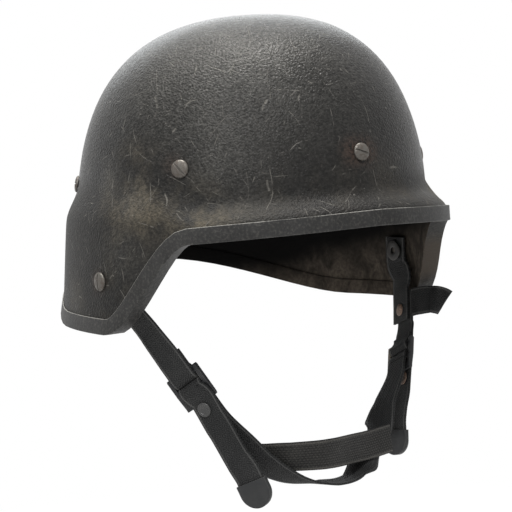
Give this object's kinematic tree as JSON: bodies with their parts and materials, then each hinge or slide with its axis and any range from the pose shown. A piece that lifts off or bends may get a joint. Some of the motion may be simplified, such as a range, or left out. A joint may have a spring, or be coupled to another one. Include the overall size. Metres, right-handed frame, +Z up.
{
  "type": "ballistic helmet",
  "caption": "Ballistic helmet: a moulded shell with flared brim, ear sections and nape, rubber edging, a webbing cradle with sweatband, and a buckled chin strap with free tails.",
  "frame": {"origin": "on the dome's upright axis, level with the front of the finished rim, inside the space for the head", "axes": "+Z up through the crown, -Y to the brim's front, -X to the wearer's right"},
  "size_m": [0.2588, 0.2734, 0.3044],
  "materials": {
    "shell_composite": "textured charcoal paint over the moulded aramid, worn and dusty",
    "edging_rubber": "matt rubber, scuffed at the brim",
    "screw_steel": "worn steel with dark grime in the slot",
    "dark_steel": "dull dark plated steel",
    "liner_webbing": "woven cotton tape",
    "lace_cord": "braided cord",
    "band_leather": "brown leather with a soft sheen",
    "eyelet_brass": "tarnished brass",
    "strap_webbing": "dark woven webbing",
    "buckle_plastic": "moulded plastic with worn edges",
    "tip_plastic": "moulded plastic",
    "woven_band": "coarsely woven elastic band"
  },
  "bodies": {
    "helmet": {"shell": "shell_composite", "edging": "edging_rubber", "cradle_screws": "screw_steel", "cradle_nuts": "dark_steel", "cradle_washers": "dark_steel", "cradle_ring": "liner_webbing", "crown_straps": "liner_webbing", "crown_lace": "lace_cord", "sweatband": "band_leather", "sweatband_studs": "eyelet_brass", "ear_screws": "screw_steel", "ear_posts": "dark_steel", "ear_washers": "dark_steel"},
    "chin_harness": {"right_ear_strap": "strap_webbing", "left_ear_tab": "strap_webbing", "strap_grommets": "eyelet_brass", "left_ear_strap": "strap_webbing", "left_snap_stud": "eyelet_brass", "left_snap_socket": "dark_steel", "chin_band_lower": "strap_webbing", "chin_band_upper": "woven_band"},
    "right_adjuster": {"right_buckle": "buckle_plastic", "right_tail": "strap_webbing", "right_tail_tip": "tip_plastic", "right_snap_cap": "dark_steel"},
    "left_adjuster": {"left_buckle": "buckle_plastic", "left_tail": "strap_webbing", "left_tail_tip": "tip_plastic", "left_snap_cap": "eyelet_brass"}
  },
  "joints": [
    {"name": "chin_strap_swing", "type": "hinge", "parent": "helmet", "child": "chin_harness", "pos_m": [0, 0, -0.0293], "axis": [1, 0, 0], "range_deg": [-15, 55]},
    {"name": "right_buckle_tilt", "type": "hinge", "parent": "chin_harness", "child": "right_adjuster", "pos_m": [-0.08527, -0.02864, -0.09124], "axis": [-0.3059, 0.7942, -0.525], "range_deg": [0, 30]},
    {"name": "left_buckle_tilt", "type": "hinge", "parent": "chin_harness", "child": "left_adjuster", "pos_m": [0.09353, -0.02483, -0.09312], "axis": [0.0243, -0.9013, 0.4325], "range_deg": [0, 30]}
  ]
}
